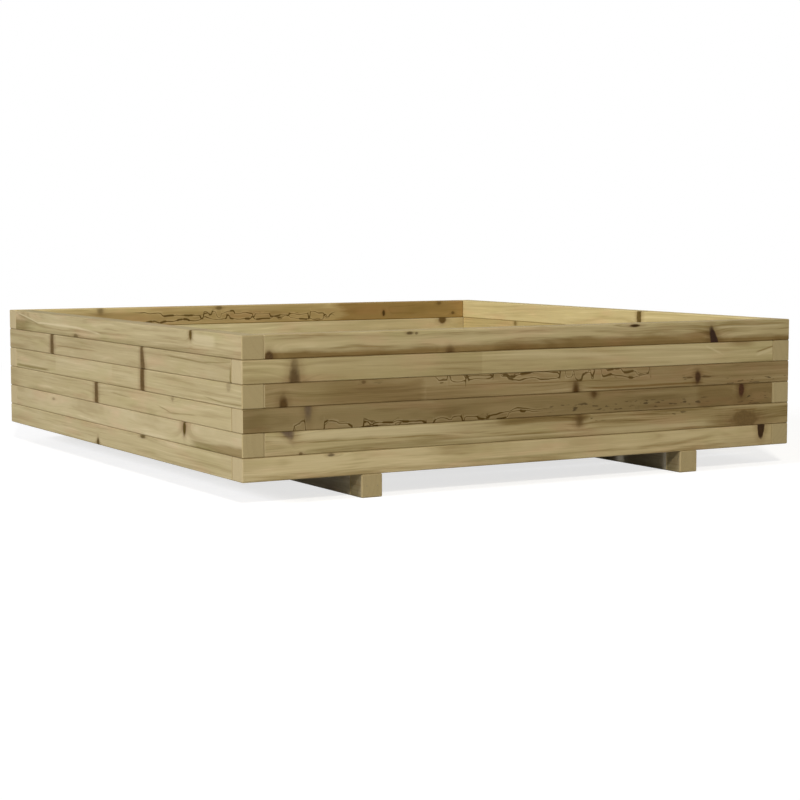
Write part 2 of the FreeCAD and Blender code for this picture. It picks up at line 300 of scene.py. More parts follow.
def rings(n, moved):
    """The radius from the pith, and how dark the growth ring is there."""
    here, pith, seed = n.split(n.ins["place"]), n.split(n.ins["pith"]), n.ins["seed"]
    warp = n.vector("SUBTRACT", n.noise(moved, WARP_SCALE, 2.0, 0.45, colour=True), (0.5, 0.5, 0.5))
    warp = n.split(n.vector("MULTIPLY", warp, n.join(0.0, n.ins["warp"], n.ins["warp"])))
    depth = n.math("ADD", n.math("SUBTRACT", here[1], pith[1]), warp[1])
    rise = n.math("ADD", n.math("SUBTRACT", here[2], pith[2]), warp[2])
    slant = n.math("MULTIPLY", n.math("SUBTRACT", here[0], LENGTH / 2), pith[0])
    radius = n.vector("LENGTH", n.join(0.0, depth, n.math("ADD", rise, slant)))
    radius = n.math("MULTIPLY_ADD", n.ins["swirl"], 2.6, radius)
    uneven = n.noise(n.join(radius, seed, seed), SPACING_SCALE, 1.0)
    phase = n.math("MULTIPLY_ADD", uneven, 1.9, n.math("DIVIDE", radius, n.ins["spacing"]))
    part = n.math("FRACT", phase)
    ring = n.math("MULTIPLY", n.ramp(part, 0.15, 0.85), n.ramp(part, 0.87, 1.0, 1.0, 0.0))
    weight = n.noise(n.join(n.math("FLOOR", phase), seed, 0.0), WEIGHT_SCALE, 0.0)
    return radius, n.math("MULTIPLY", ring, n.ramp(weight, 0.3, 0.66, 0.1, 1.0))


def grain_colour(n, moved, flow, ring, fibre):
    """The timber's own colour with its grain and patches, and how strong the grain is there."""
    thin = n.noise(flow, THIN_SCALE, 3.0, 0.65)
    broad = n.noise(flow, BROAD_SCALE, 2.0, 0.5)
    patch = n.noise(moved, PATCH_SCALE, 2.0, 0.5)
    blush = n.noise(n.vector("ADD", moved, BLUSH_STEP), BLUSH_SCALE, 2.0, 0.5)
    grain = n.math("MULTIPLY_ADD", ring, 0.3, n.ramp(thin, 0.5, 0.66, 0.0, 0.7))
    grain = n.math("ADD", grain, n.ramp(broad, 0.44, 0.72, 0.0, 0.4))
    grain = n.math("ADD", grain, n.sway(fibre, 0.9))
    grain = n.math("MULTIPLY", grain, n.ins["contrast"], clamp=True)
    colour = n.tint(grain, n.ins["tone"], DARK_GRAIN)
    colour = n.mix(n.ramp(thin, 0.32, 0.47, 0.45, 0.0), colour, n.times(n.ins["tone"], PALE_GRAIN))
    colour = n.tint(n.ramp(blush, 0.5, 0.74, 0.0, 0.5), colour, BLUSH)
    colour = n.tint(n.ramp(patch, 0.5, 0.8, 0.0, 0.4), colour, DULL_PATCH)
    return n.tint(n.ramp(patch, 0.26, 0.46, 0.5, 0.0), colour, LIGHT_PATCH), grain


def timber_group():
    """Wood with rings round a pith outside its section, fibres, patches, stains, knots, sawn ends and painted
    shade in its seams.
    """
    masks = ("brown", "olive", "core", "halo", "swirl", "zone", "specks", "pale", "end", "seam")
    n = shared(
        "timber", {"colour": (*PLAIN_TONE, 1), "height": 0.0, "roughness": 0.0},
        place=(0, 0, 0), seed=0.0, pith=(0.01, 60, 20), spacing=6.0, warp=5.0, contrast=1.0,
        tone=(*PLAIN_TONE, 1), heart=(*WARM, 1), cut=(*FRONT_CUT, 1), **dict.fromkeys(masks, 0.0),
    )
    seeds = n.join(n.ins["seed"], n.ins["seed"], n.ins["seed"])
    moved = n.vector("ADD", n.ins["place"], n.vector("MULTIPLY", SEED_STEP, seeds))
    radius, ring = rings(n, moved)
    along = n.split(n.ins["place"])[0]
    flow = n.vector("ADD", n.join(along, radius, 0.0), n.vector("MULTIPLY", GRAIN_SEED_STEP, seeds))
    fibre = n.noise(moved, FIBRE_SCALE, 3.0, 0.65)

    colour, grain = grain_colour(n, moved, flow, ring, fibre)
    colour = n.mix(n.ins["pale"], colour, n.times(n.ins["tone"], PALE_STAIN))
    colour = n.tint(n.ins["brown"], colour, n.mix(grain, BROWN_STAIN, BROWN_STAIN_GRAIN))
    colour = n.tint(n.ins["olive"], colour, OLIVE_STAIN)
    colour = n.tint(n.math("MULTIPLY", n.ins["halo"], 0.62), colour, KNOT_HALO)
    grit = n.ramp(n.noise(moved, GRIT_SCALE, 2.0, 0.6), 0.3, 0.7)
    heart = n.mix(grit, n.times(n.ins["heart"], HEART_DARK), n.times(n.ins["heart"], HEART_LIGHT))
    colour = n.mix(n.math("POWER", n.ins["core"], 0.8), colour, heart)
    colour = n.mix(n.math("MULTIPLY", n.ins["zone"], 0.95), colour, ZONE_COLOUR)
    colour = n.mix(n.math("MULTIPLY", n.ins["specks"], 0.85), colour, SPECK_COLOUR)
    arcs = n.math("MULTIPLY_ADD", ring, 0.16, n.ramp(fibre, 0.45, 0.75, 0.0, 0.2))
    colour = n.mix(n.ins["end"], colour, n.tint(arcs, n.ins["cut"], END_GRAIN))
    # Painted shade: the colour is darkened in the seams between battens.
    n.put(n.tint(n.ins["seam"], colour, PAINTED_SEAM_SHADE), n.outs["colour"])

    height = n.math("MULTIPLY_ADD", ring, 0.3, n.math("MULTIPLY", fibre, 0.5))
    n.put(n.math("MULTIPLY_ADD", n.ins["core"], 0.5, height), n.outs["height"])
    roughness = n.math("MULTIPLY_ADD", ring, -0.1, 0.66)
    n.put(n.math("MULTIPLY_ADD", fibre, 0.2, roughness), n.outs["roughness"])
    return n.tree


# Dark zone lines and specks, which mould leaves in wood

LINE_STEP = 0.8             # millimetres to the places beside one, where its steepness is measured
LINE_EDGE = 3               # millimetres over which a line gets bold
STRAY_HOLD = 26.0           # of the second line, which strays further
LINE_SCALES = ((0.023, 0.02, 0.062), (0.046, 0.02, 0.11))
LINE_NOISE_STEP = (131.0, 0.0, 57.0)
LINE_LEAST_STEEPNESS = 0.007
LINE_THICKNESS_SCALE = (0.04, 0.04, 0.05)
STRAY_SHOWS_SCALE = (0.013, 0.02, 0.03)
RIM_STRENGTH = 0.55
SPECK_SCALE = (0.06, 0.2, 0.26)


def line_distance(n, layer, hold):
    """How far a place is from a line, which the noise bends by up to half its hold, in millimetres."""
    levels = []
    for step, line in (((0, 0, 0), "line"), ((LINE_STEP, 0, 0), "line_next"), ((0, 0, LINE_STEP), "line")):
        at = n.vector("ADD", n.ins["place"], step)
        fall = n.math("SUBTRACT", SECTION, n.split(at)[2])
        moved = n.vector("ADD", at, tuple(layer * part for part in LINE_NOISE_STEP))
        off = n.math("DIVIDE", n.math("SUBTRACT", fall, n.ins[line]), hold)
        levels.append(n.math("ADD", n.noise(moved, LINE_SCALES[layer], 1.2, 0.5), off))
    along, up = (n.math("DIVIDE", n.math("SUBTRACT", level, levels[0]), LINE_STEP) for level in levels[1:])
    steepness = n.math("MAXIMUM", n.vector("LENGTH", n.join(along, 0.0, up)), LINE_LEAST_STEEPNESS)
    return n.math("DIVIDE", n.math("ABSOLUTE", n.math("SUBTRACT", levels[0], 0.5)), steepness)


def zone_group():
    """A zone line that keeps near a given one, with its pale rim, and a thin second one that strays."""
    n = shared(
        "zone_lines", {"zone": 0.0, "rim": 0.0},
        place=(0, 0, 0), mask=0.0, line=30.0, line_next=30.0, bold=0.0, hold=50.0,
    )
    thin = n.ramp(n.noise(n.ins["place"], LINE_THICKNESS_SCALE, 1.0), 0.42, 0.68, 0.42, 1.1)
    bold = n.math("MULTIPLY_ADD", n.ins["bold"], 1.15, thin)
    away = line_distance(n, 0, n.ins["hold"])
    share = n.math("DIVIDE", away, bold)
    line = n.ramp(share, 0.5, 1.5, 1.0, 0.0)
    rim = n.math("MULTIPLY", n.ramp(share, 1.0, 2.2), n.ramp(away, 1.4, 4.4, 1.0, 0.0))
    stray = n.ramp(n.math("DIVIDE", line_distance(n, 1, STRAY_HOLD), thin), 0.5, 1.5, 1.0, 0.0)
    shows = n.ramp(n.noise(n.ins["place"], STRAY_SHOWS_SCALE, 1.0), 0.46, 0.58, 0.0, 0.8)
    lines = n.math("MAXIMUM", line, n.math("MULTIPLY", stray, shows))
    n.put(n.math("MULTIPLY", lines, n.ins["mask"]), n.outs["zone"])
    n.put(n.math("MULTIPLY", rim, n.ins["mask"]), n.outs["rim"])
    return n.tree


def speck_group():
    """Small dark specks in the stretch that a mask gives."""
    n = shared("specks", {"specks": 0.0}, place=(0, 0, 0), mask=0.0)
    dots = n.noise(n.ins["place"], SPECK_SCALE, 1.0)
    n.put(n.math("MULTIPLY", n.ramp(dots, 0.59, 0.65), n.ins["mask"]), n.outs["specks"])
    return n.tree


KNOT_GROUP, STAIN_GROUP, TIMBER_GROUP = knot_group(), stain_group(), timber_group()
ZONE_GROUP, SPECK_GROUP = zone_group(), speck_group()


# Rows for the tables of looks. Places are in millimetres, with u along the timber.
TALL_KNOT = 50              # the reach up beyond which a knot bends the grain less
TALL_KNOT_SWIRL = 0.3


def knot(u, fall, reach_u, reach_h, strength=1, **facts):
    """A knot with its reach along and up."""
    swirl = TALL_KNOT_SWIRL if reach_h > TALL_KNOT else strength
    row = {"depth": 0, "reach_d": 40, "lean": 0, "taper": 0, "blur": 0.5, "heart": None, "swirl": swirl}
    row.update(u=u, fall=fall, reach_u=reach_u, reach_h=reach_h, strength=strength, **facts)
    return row


def stain(u0, u1, fall0, fall1, strength=1, **facts):
    """A stain between two places along and two falls. soft is for its start, its end and its edges."""
    row = {"u0": u0, "u1": u1, "fall0": fall0, "fall1": fall1, "strength": strength}
    return {**row, "soft": (45, 45, 3.5), "slope": 0, **facts}


def zone(u0, u1, fall0, fall1, line, bold=(), hold=14.0, **facts):
    """Zone lines in such a stretch, near a fall or points of (u, fall). bold holds (u, half a length)."""
    return stain(u0, u1, fall0, fall1, line=line, bold=bold, hold=hold, **facts)


def look(seed, knots=(), brown=(), olive=(), pale=(), specks=(), zones=(), **wood):
    """What a timber shows. wood holds the timber group's inputs that it sets for itself."""
    stains = {"brown": brown, "olive": olive, "pale": pale, "specks": specks}
    return {"wood": {"seed": seed, **wood}, "knots": knots, "zones": zones, "stains": stains}


def follow(n, along, points):
    """The fall that goes smoothly from each (u, fall) to the next."""
    first, last = points[0][0], points[-1][0]
    least = min(fall for _, fall in points)
    span = max(max(fall for _, fall in points) - least, 1)
    share = n.math("DIVIDE", n.math("SUBTRACT", along, first), last - first)
    made = n.node("ShaderNodeFloatCurve", Value=share)
    places = [((u - first) / (last - first), (fall - least) / span) for u, fall in points]
    spots = made.mapping.curves[0].points
    spots[0].location, spots[1].location = places[0], places[-1]
    for spot in places[1:-1]:
        spots.new(*spot)
    for spot in spots:
        spot.handle_type = "AUTO_CLAMPED"
    made.mapping.update()
    return n.math("MULTIPLY_ADD", made.outputs[0], span, least)


def knot_values(n, place, rows, top, heart):
    """The timber group's inputs for a timber's knots."""
    made = []
    for row in rows:
        centre = (row["u"], row["depth"], top - row["fall"])
        reach = (row["reach_u"], row["reach_d"], row["reach_h"])
        facts = {name: row[name] for name in ("lean", "taper", "strength", "blur", "swirl")}
        made.append(n.group(KNOT_GROUP, place=place, centre=centre, reach=reach, **facts))
        if row["heart"]:
            heart = n.mix(n.ramp(made[-1]["core"], 0.0, 0.2), heart, row["heart"])
    if not made:
        return {}
    values = {name: n.largest([outs[name] for outs in made]) for name in ("core", "halo", "swirl")}
    return {"heart": heart, **values}


def stain_mask(n, place, rows, top):
    masks = []
    for row in rows:
        low, high = (row["u0"], 0, top - row["fall1"]), (row["u1"], 0, top - row["fall0"])
        facts = {name: row[name] for name in ("soft", "slope", "strength")}
        masks.append(n.group(STAIN_GROUP, place=place, low=low, high=high, **facts)["mask"])
    return n.largest(masks)


def zone_lines(n, place, row, top):
    """The outputs of a zone group, for a line of points or for a level one."""
    line = row["line"]
    given = {"line": line, "line_next": line, "hold": row["hold"]}
    if isinstance(line, list):
        along = n.split(place)[0]
        given["line"] = follow(n, along, line)
        given["line_next"] = follow(n, n.math("ADD", along, LINE_STEP), line)
        bold = [(line[0][0], 0)]
        for u, half in row["bold"]:
            bold += [(u - half - LINE_EDGE, 0), (u - half, 1), (u + half, 1), (u + half + LINE_EDGE, 0)]
        given["bold"] = follow(n, along, bold + [(line[-1][0], 0)])
    return n.group(ZONE_GROUP, place=place, mask=stain_mask(n, place, [row], top), **given)


SEAM_CORE = 0.35            # half the width of the darkest part of a seam's painted shade


def seam_mask(n, place, normal, seams, reach):
    """Painted shade in the seams round a batten, but not on its top and its underside."""
    here = n.split(place)
    dark = 0.0
    for axis, at in seams:
        away = n.math("ABSOLUTE", n.math("SUBTRACT", here[axis], at))
        dark = n.math("MAXIMUM", dark, n.ramp(away, SEAM_CORE, reach, 1.0, 0.0))
    level = n.math("ABSOLUTE", n.split(normal)[2])
    return n.math("MULTIPLY", dark, n.ramp(level, 0.5, 0.9, 1.0, 0.0))


def timber_material(name, origin, turn, look, top=SECTION, seams=(), seam_reach=0.0):
    """Wood for a timber that starts at origin, in metres, and runs at turn degrees about Z. top is the height
    of its top edge over origin, in millimetres."""
    material = bpy.data.materials.new(name)
    material.use_nodes = True
    n = Net(material.node_tree)
    back = Matrix.Rotation(-math.radians(turn), 3, "Z")
    place = n.node(
        "ShaderNodeMapping",
        {"vector_type": "POINT"},
        Vector=n.node("ShaderNodeTexCoord").outputs["Object"],
        Location=tuple(-(back @ Vector(origin)) * MM),
        Rotation=(0, 0, -math.radians(turn)),
        Scale=(MM, MM, MM),
    ).outputs[0]
    normal = n.node("ShaderNodeNewGeometry").outputs["Normal"]
    facing = n.vector("DOT_PRODUCT", normal, tuple(back.transposed() @ Vector((1, 0, 0))))
    values = {**look["wood"], "end": n.ramp(n.math("ABSOLUTE", facing), 0.55, 0.68)}
    values.update(knot_values(n, place, look["knots"], top, values.get("heart", WARM)))
    for key, rows in look["stains"].items():
        if rows:
            values[key] = stain_mask(n, place, rows, top)
    if "specks" in values:
        values["specks"] = n.group(SPECK_GROUP, place=place, mask=values["specks"])["specks"]
    zones = [zone_lines(n, place, row, top) for row in look["zones"]]
    if zones:
        values["zone"] = n.largest([outs["zone"] for outs in zones])
        rims = n.math("MULTIPLY", n.largest([outs["rim"] for outs in zones]), RIM_STRENGTH)
        values["pale"] = n.largest([rims, values.get("pale", 0.0)])
    # Painted shade in the seams between battens
    if seams:
        values["seam"] = seam_mask(n, place, normal, seams, seam_reach)
    wood = n.group(TIMBER_GROUP, place=place, **values)
    bump = n.shader("ShaderNodeBump", Strength=0.5, Distance=0.0006, Height=wood["height"])
    surface = n.node(
        "ShaderNodeBsdfPrincipled", Base_Color=wood["colour"], Roughness=wood["roughness"], Normal=bump
    )
    surface.inputs["Specular IOR Level"].default_value = 0.08
    n.node("ShaderNodeOutputMaterial", Surface=surface.outputs[0])
    return material


# What each batten shows, for every wall by course from the ground up
FRONT, LEFT, BACK, RIGHT = {}, {}, {}, {}

FRONT[6] = look(
    seed=1, pith=(0.004, 70, 6), spacing=6, contrast=1.05, tone=(0.52, 0.425, 0.222), heart=DARK,
    knots=[
        knot(47, 38, 7.5, 15, blur=0.35, heart=(0.105, 0.06, 0.022)),
        knot(299, 4, 7, 3, 0.7),
        knot(311, 4.5, 3, 2.5, 0.5),
        knot(375, 38, 9, 12, 0.75, blur=0.9, heart=(0.085, 0.044, 0.012)),
        knot(750, 3.5, 12, 2.8),
        knot(927, 40, 9.6, 34, taper=-0.12, lean=-0.3, blur=0.3, swirl=0.6, heart=(0.041, 0.021, 0.0125)),
    ],
    brown=[
        stain(20, 1140, 27, 46, 0.9, soft=(15, 15, 5)),
        stain(20, 1140, 29, 46, 1.05),
        stain(540, 912, 21, 46, 0.95, soft=(90, 20, 6)),
        stain(835, 924, 20, 34, 0.8, slope=0.05, soft=(40, 4, 3)),
        stain(20, 1140, 32.5, 46, 1.3, soft=(5, 5, 3)),
        stain(20, 200, 28, 46, 1.2, soft=(5, 60, 4)),
    ],
    olive=[
        stain(40, 110, 28, 46, 0.3),
        stain(560, 1000, 31, 46, 0.22),
    ],
    pale=[stain(930, 1080, 9, 12, 0.5, soft=(20, 20, 1.5))],
)
FRONT[5] = look(
    seed=2, pith=(0.012, 50, -6), spacing=9, contrast=0.58, tone=(0.494, 0.402, 0.203),
    heart=(0.105, 0.065, 0.025),
    knots=[
        knot(91, 41, 11, 43, 0.92, taper=-0.12, blur=0.6),
        knot(987, -8, 20, 9, 0.3, swirl=2.5),
    ],
    brown=[
        stain(330, 437, -5, 45, 0.24, soft=(60, 2, 6)),
        stain(440, 700, 14, 45, 0.16, soft=(60, 60, 6)),
        stain(100, 420, -5, 45, 0.14, soft=(60, 60, 6)),
        stain(-20, 140, 27, 45, 0.3),
        stain(962, 1015, -4, 9, 0.5, soft=(20, 20, 4)),
        stain(1024, 1062, 18, 21, 0.8, slope=0.24, soft=(6, 6, 1.5)),
    ],
    pale=[
        stain(510, 720, 2, 12, 0.5, slope=-0.04),
        stain(740, 930, -5, 45, 0.22),
        stain(905, 945, 2, 6, 0.6, slope=-0.42, soft=(12, 12, 2)),
        stain(945, 1030, 17, 20, 0.3, slope=0.03, soft=(20, 20, 1.5)),
        stain(1024, 1062, 21, 27, 0.6, slope=0.24, soft=(6, 6, 1.5)),
    ],
)
FRONT[4] = look(
    seed=3, pith=(-0.006, 44, 40), spacing=8, contrast=0.66, tone=(0.387, 0.295, 0.142),
    heart=(0.076, 0.038, 0.008),
    knots=[
        knot(71, 38, 8, 21, 0.85),
        knot(214, 4, 4.5, 3, 0.5),
        knot(626, 38, 8, 22, 0.95, blur=0.8, heart=(0.068, 0.031, 0.004)),
        knot(889, 22, 7, 13, heart=(0.064, 0.031, 0.012)),
        knot(871, 22, 9, 1.6, 0.6),
        knot(909, 22, 12, 1.6, 0.6),
    ],
    brown=[
        stain(20, 327, -5, 45, 0.3, soft=(5, 5, 6)),
        stain(130, 327, 3, 45, 0.64, soft=(60, 12, 8)),
        stain(327, 1140, -5, 45, 0.22, soft=(5, 5, 6)),
        stain(327, 450, 16, 45, 0.5, soft=(5, 60, 6)),
        stain(345, 620, 24, 45, 0.3),
        stain(640, 890, 30, 34, 1.2, soft=(40, 40, 1.5)),
        stain(650, 1140, -5, 45, 0.4, soft=(120, 120, 6)),
        stain(380, 720, 15, 17, 0.8, slope=-0.012, soft=(40, 40, 1)),
    ],
    pale=[
        stain(568, 622, 31, 34, 0.7, soft=(14, 14, 1)),
        stain(640, 690, 32, 35, 0.7, soft=(14, 14, 1)),
    ],
    specks=[
        stain(222, 246, 5, 11),
        stain(950, 1104, 26, 36, soft=(10, 10, 2)),
        stain(845, 905, 18, 25, soft=(14, 14, 2)),
    ],
    zones=[
        zone(
            348, 783, -2, 20, strength=0.88, soft=(4, 4, 2),
            bold=[(408, 3), (494, 3), (593, 2), (638, 3), (661, 3), (691, 8), (742, 3), (779, 1)],
            line=[
                (345, -4), (350, 2), (352, 6), (356, 9), (364, 9), (370, 5), (372, -3), (374, -3), (376, 4),
                (379, 9.5), (384, 12), (392, 12), (400, 9.5), (405, 8.5), (407, 1), (409, 1), (411, 7.8),
                (440, 7.5), (450, 7), (457, 5), (460, 1), (462, -4), (472, -4), (475, 2), (479, 4.5),
                (486, 5), (489, 8), (495, 10), (500, 11), (520, 11.3), (535, 11), (548, 11.5), (570, 11.7),
                (580, 11), (588, 9), (593, 5.2), (594, 1), (596, -4), (602, -4), (604, 3), (606, 8),
                (610, 11), (618, 10.5), (621, 4), (623, 8), (626, 15), (632, 16.5), (637, 15.5), (640, 11),
                (645, 7), (648, 4), (655, 4), (658, 9), (661, 10.8), (663, 6), (665, 1.5), (668, -4),
                (676, -4), (680, 6), (684, 10.3), (700, 10.5), (702, 12), (712, 13), (725, 14.5),
                (735, 15.8), (750, 15), (760, 13), (775, 12), (780, 10), (783, -4),
            ],
        ),
        zone(
            400, 783, -2, 20, strength=0.88, soft=(4, 4, 2),
            bold=[(457, 2), (484, 4), (498, 3), (524, 9), (698, 5), (713, 3), (737, 9)],
            line=[
                (400, -4), (404, 2), (407, 4), (411, 2), (420, 1.6), (452, 1.5), (458, 3.5), (461, -4),
                (474, -4), (477, 1), (484, 1.5), (490, 4), (497, 5.2), (502, 4), (510, 2), (516, 1.1),
                (545, 1), (560, 0.6), (572, 0.8), (582, 1), (589, 2), (593, 4), (596, -4), (688, -4),
                (692, 1.7), (705, 1.7), (710, 1.2), (716, 1.2), (722, 3), (727, 6), (735, 6.5), (748, 6.8),
                (756, 9), (762, 11), (775, 12.2), (780, 9), (781, 6), (783, -4),
            ],
        ),
    ],
)
FRONT[3] = look(
    seed=4, pith=(0.003, -40, 16), spacing=9, contrast=0.62, tone=(0.385, 0.305, 0.15),
    heart=(0.105, 0.075, 0.052),
    knots=[
        knot(114, 0, 7.5, 26, 0.65, blur=0.8),
        knot(664, 4, 6.5, 8, 0.9, heart=(0.09, 0.048, 0.013), blur=0.8),
        knot(989, 10, 6.5, 15, heart=PURPLE, blur=0.35),
    ],
    brown=[
        stain(-20, 1100, -5, 45, 0.45),
        stain(-20, 60, 6, 45, 0.6, soft=(45, 30, 8)),
        stain(560, 1100, -5, 45, 0.55, soft=(120, 120, 6)),
        stain(880, 972, -5, 45, 0.82, soft=(20, 6, 6)),
        stain(940, 1100, -5, 45, 0.86),
        stain(330, 780, -5, 45, 0.64),
    ],
    olive=[stain(-20, 40, -5, 45, 0.3, soft=(45, 40, 6))],
    specks=[
        stain(566, 905, 19, 33, soft=(30, 20, 2)),
        stain(985, 1050, 17, 36, soft=(14, 10, 2)),
    ],
    zones=[
        zone(
            86, 556, 17, 40, soft=(4, 30, 2),
            bold=[
                (145, 1.5), (190, 3), (215, 1), (258, 8), (291, 4), (328, 3), (345, 1), (399, 2), (435, 5),
                (449, 2),
            ],
            line=[
                (80, 42), (86, 42), (88, 37), (92, 31), (100, 28), (107, 22), (109, 29), (110, 37),
                (112, 42), (139, 42), (142, 40), (144, 28), (150, 25.4), (160, 25), (170, 28.5),
                (180, 29.5), (186, 31), (190, 33.5), (194, 37), (196, 42), (210, 42), (213, 38), (215, 28),
                (222, 29), (228, 33), (234, 30.5), (240, 30.4), (250, 32.2), (262, 32.2), (270, 30.8),
                (276, 28.5), (284, 29.5), (290, 30.8), (300, 30), (310, 30.8), (318, 31.6), (325, 34.8),
                (330, 37), (333, 42), (340, 42), (343, 36.6), (346, 33.5), (350, 32), (360, 33), (370, 35),
                (376, 36.6), (380, 31.6), (392, 30), (396, 31), (399, 36), (401, 39), (403, 36),
                (405, 32.2), (410, 30.8), (420, 30), (428, 30.8), (431, 33), (437, 33.2), (445, 32.2),
                (452, 30), (457, 28.5), (465, 27), (475, 26.6), (490, 26.6), (495, 25.4), (500, 23.5),
                (510, 22), (520, 22.2), (530, 23), (540, 24.1), (548, 25.4), (560, 26),
            ],
        ),
        zone(
            200, 548, 22, 40, soft=(4, 10, 2),
            bold=[(224, 3), (234, 4), (475, 8), (518, 4)],
            line=[
                (200, 42), (212, 37), (225, 35.5), (238, 36.5), (262, 37.2), (300, 37.2), (328, 42),
                (455, 42), (464, 38), (468, 36), (484, 36), (488, 34), (492, 29), (510, 27.5), (520, 28.5),
                (528, 26.6), (535, 28), (540, 29.5), (548, 30),
            ],
        ),
    ],
)
FRONT[2] = look(
    seed=5, pith=(-0.008, 66, -10), spacing=8, contrast=1.1, tone=(0.5, 0.407, 0.207),
    heart=(0.118, 0.07, 0.022),
    knots=[
        knot(76, -3, 14, 18, 0.85, blur=0.6, taper=0.5, lean=-0.5, heart=(0.13, 0.088, 0.06)),
        knot(101, 36, 4, 3, 0.7),
        knot(634, 9, 8.5, 13, 0.85, blur=0.9),
        knot(998, 24, 33, 15, 0.85, blur=0.3, heart=(0.155, 0.098, 0.034), swirl=0.6),
    ],
    brown=[
        stain(400, 900, -5, 45, 0.34, soft=(140, 140, 6)),
        stain(470, 655, -2, 11, 0.85, soft=(30, 20, 3)),
        stain(640, 1140, -5, 22, 0.55),
        stain(900, 1140, 6, 45, 0.62),
        stain(430, 900, 34, 37, 0.35, soft=(60, 60, 1)),
        stain(964, 1034, 7, 10.5, 1.0, soft=(14, 14, 1.5)),
    ],
    olive=[
        stain(112, 236, 18.5, 20.3, 0.7, soft=(14, 14, 0.8)),
        stain(180, 400, 28, 36, 0.3, soft=(30, 60, 2)),
        stain(120, 420, 25, 36, 0.3),
        stain(350, 700, 34, 37, 0.4, soft=(60, 60, 1)),
        stain(470, 655, -2, 11, 0.3, soft=(30, 20, 3)),
    ],
    pale=[
        stain(95, 430, 2, 16, 0.7, soft=(20, 90, 3)),
        stain(690, 900, 26, 33, 0.6, soft=(60, 60, 2)),
        stain(45, 85, 4, 14, 0.4, slope=-0.25, soft=(14, 14, 4)),
        stain(350, 640, 29, 32, 0.6, soft=(40, 40, 1)),
        stain(270, 420, 8, 11, 0.5, slope=-0.09, soft=(30, 30, 1.5)),
        stain(950, 1120, 1, 4, 0.7, soft=(30, 30, 1.5)),
    ],
    specks=[
        stain(650, 690, 7, 12, soft=(14, 14, 2)),
        stain(820, 865, 5, 10, soft=(14, 14, 2)),
    ],
)
FRONT[1] = look(
    seed=46, pith=(0.002, 90, 30), spacing=6, contrast=0.95, tone=(0.625, 0.515, 0.282),
    heart=(0.045, 0.023, 0.008),
    knots=[
        knot(155, 3, 7, 3, 0.6),
        knot(1036, 2, 9, 25, taper=0.12, blur=0.2, swirl=0.2),
    ],
    brown=[
        stain(400, 1140, -5, 45, 0.14, soft=(200, 200, 6)),
        stain(960, 1140, -5, 45, 0.42, soft=(60, 60, 6)),
    ],
    olive=[stain(380, 620, 26, 30, 0.5, soft=(60, 60, 1.5))],
)

LEFT[6] = look(
    seed=11, pith=(-0.01, 64, 44), spacing=11, contrast=0.7, tone=(0.46, 0.378, 0.2), heart=OLIVE,
    knots=[
        knot(30, -22, 30, 20, 0.1, swirl=4),
        knot(380, 37, 12, 7, 0.58),
        knot(907, 7, 6.5, 10, taper=0.3, heart=(0.093, 0.057, 0.009)),
    ],
    brown=[
        stain(650, 1140, 24, 46, 0.1, soft=(60, 60, 1.5)),
        stain(350, 600, 22, 25, 0.4, soft=(30, 30, 1.5)),
    ],
    olive=[
        stain(20, 130, 14, 46, 0.85, slope=-0.06, soft=(12, 50, 5)),
        stain(60, 170, 6, 9, 0.5, slope=-0.127, soft=(10, 10, 1.5)),
        stain(160, 1100, 33, 40, 0.35),
    ],
    pale=[
        stain(916, 1000, 6, 23, 0.5, soft=(10, 10, 1.5)),
        stain(660, 900, -5, 45, 0.1),
        stain(60, 172, 4, 6.5, 0.8, slope=-0.127, soft=(10, 10, 1)),
        stain(168, 400, 17.5, 20.5, 0.8, soft=(16, 16, 1)),
        stain(385, 500, 18, 21, 0.8, slope=-0.05, soft=(16, 16, 1)),
    ],
)
LEFT[5] = look(
    seed=12, pith=(0.008, 80, -4), spacing=9, contrast=0.5, tone=(0.44, 0.358, 0.19),
    heart=(0.119, 0.075, 0.026),
    knots=[
        knot(250, 20, 10, 95, reach_d=14),
        knot(703, 28, 10, 60, reach_d=14, taper=-0.6, lean=-0.12),
    ],
    brown=[
        stain(-20, 210, 8, 14, 0.35, soft=(30, 30, 2)),
        stain(-20, 110, 28, 36, 0.45),
        # Painted shade: the dark wedge in the gap at the joint near u = 1062.
        stain(1057, 1065, 34, 50, 0.6, soft=(2, 2, 3)),
        stain(275, 470, 19, 21, 0.6, soft=(30, 30, 1)),
    ],
    olive=[
        # Painted shade: the dark gap at the same joint.
        stain(1057, 1064, 17, 50, 1.3, soft=(2, 2, 9)),
        stain(815, 960, 8, 10, 0.6, slope=-0.02, soft=(20, 20, 1)),
        stain(950, 1060, 11, 13, 0.6, slope=0.06, soft=(20, 20, 1)),
    ],
)
LEFT[4] = look(
    seed=13, pith=(0.004, 55, 56), spacing=10, contrast=0.5, heart=(0.106, 0.063, 0.019),
    knots=[
        knot(701, 19, 10, 95, reach_d=14),
        knot(1052, 5, 9, 10, 0.2),
    ],
    olive=[
        stain(40, 225, 30, 34.5, 0.85, soft=(20, 20, 1.5)),
        stain(965, 1040, 27, 29, 0.6, slope=-0.07, soft=(14, 14, 1)),
        stain(1030, 1110, 32, 34, 0.6, slope=0.02, soft=(10, 10, 1)),
    ],
    pale=[stain(269, 560, 2, 24, 0.25, soft=(3, 3, 8))],
)
LEFT[3] = look(
    seed=14, pith=(-0.006, 60, 0), spacing=9, contrast=0.5, tone=(0.47, 0.386, 0.205),
    heart=(0.113, 0.069, 0.022),
    knots=[
        knot(482, 19, 9.5, 95, reach_d=14),
        knot(831, 2, 6, 7, 0.3, swirl=1.2),
    ],
    brown=[stain(-30, 60, -5, 45, 0.3)],
    olive=[
        stain(120, 300, 30, 45, 0.4),
        stain(770, 825, 19, 21, 0.7, slope=-0.14, soft=(16, 16, 1)),
        stain(815, 920, 27, 29, 0.6, slope=0.04, soft=(16, 16, 1)),
        stain(560, 640, 12, 14, 0.5, slope=-0.04, soft=(16, 16, 1)),
    ],
)
